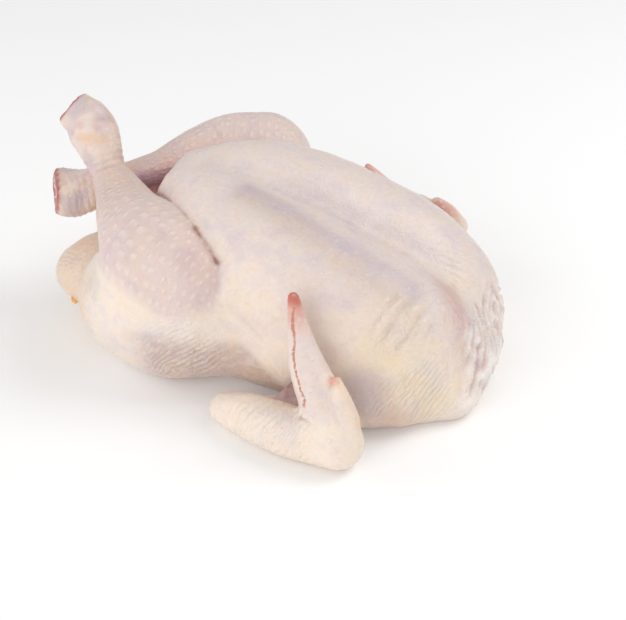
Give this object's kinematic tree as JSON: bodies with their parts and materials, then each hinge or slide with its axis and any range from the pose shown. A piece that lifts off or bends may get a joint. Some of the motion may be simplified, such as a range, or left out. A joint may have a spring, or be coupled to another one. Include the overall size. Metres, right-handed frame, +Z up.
{
  "type": "whole chicken",
  "caption": "Whole plucked raw chicken lying on its back, breast up, with folded wings and crossed legs cut off at the hock.",
  "frame": {"origin": "centre of the bounding box at the plane the bird rests on", "axes": "+X from the tail to the neck end, along the bird's length; +Z up through the breast; the leg that crosses on top is on the -Y side"},
  "size_m": [0.266, 0.2324, 0.1314],
  "materials": {
    "skin": "satin"
  },
  "bodies": {
    "root": {"chicken": "skin"}
  },
  "joints": []
}
